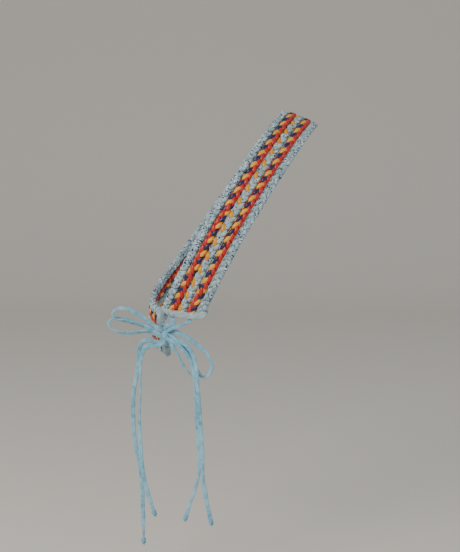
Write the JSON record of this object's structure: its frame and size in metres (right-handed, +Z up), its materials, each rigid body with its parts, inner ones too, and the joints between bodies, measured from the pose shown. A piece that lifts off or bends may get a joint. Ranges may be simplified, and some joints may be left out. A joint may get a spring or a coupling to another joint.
{
  "type": "braided sash belt",
  "caption": "Sash belt of round braids laid side by side, bound at both ends and tied in a double bow, shaped as worn over one shoulder.",
  "frame": {"origin": "where the sash's inner face sits on top of the shoulder, on the middle line of its width", "axes": "+Z up; +X across the body towards the shoulder that carries the sash; -Y to the wearer's front"},
  "size_m": [0.3088, 0.2253, 0.6442],
  "materials": {
    "printed_blue_cotton": "matte, pale blue cotton printed with navy specks",
    "colour_satin": "satin strips in red, navy and yellow",
    "centre_mix": "pale blue cotton with one yellow satin strand",
    "binding_cotton": "matte, sewn greyish blue cotton",
    "tie_cotton": "soft light blue cotton strips"
  },
  "bodies": {
    "root": {"outer_braid_neck_side": "printed_blue_cotton", "colour_braid_neck_side": "colour_satin", "centre_braid": "centre_mix", "colour_braid_arm_side": "colour_satin", "outer_braid_arm_side": "printed_blue_cotton", "end_binding_front": "binding_cotton", "end_binding_back": "binding_cotton", "bow_knot": "tie_cotton", "front_lead_near": "tie_cotton", "front_lead_far": "tie_cotton", "back_lead_upper": "tie_cotton", "back_lead_lower": "tie_cotton", "loop_left_upper": "tie_cotton", "loop_left_lower": "tie_cotton", "loop_right_outer": "tie_cotton", "loop_right_inner": "tie_cotton", "tail_left_outer": "tie_cotton", "tail_left_inner": "tie_cotton", "tail_right_outer": "tie_cotton", "tail_right_inner": "tie_cotton", "end_knot_left_outer": "tie_cotton", "end_knot_left_inner": "tie_cotton", "end_knot_right_outer": "tie_cotton", "end_knot_right_inner": "tie_cotton"}
  },
  "joints": []
}
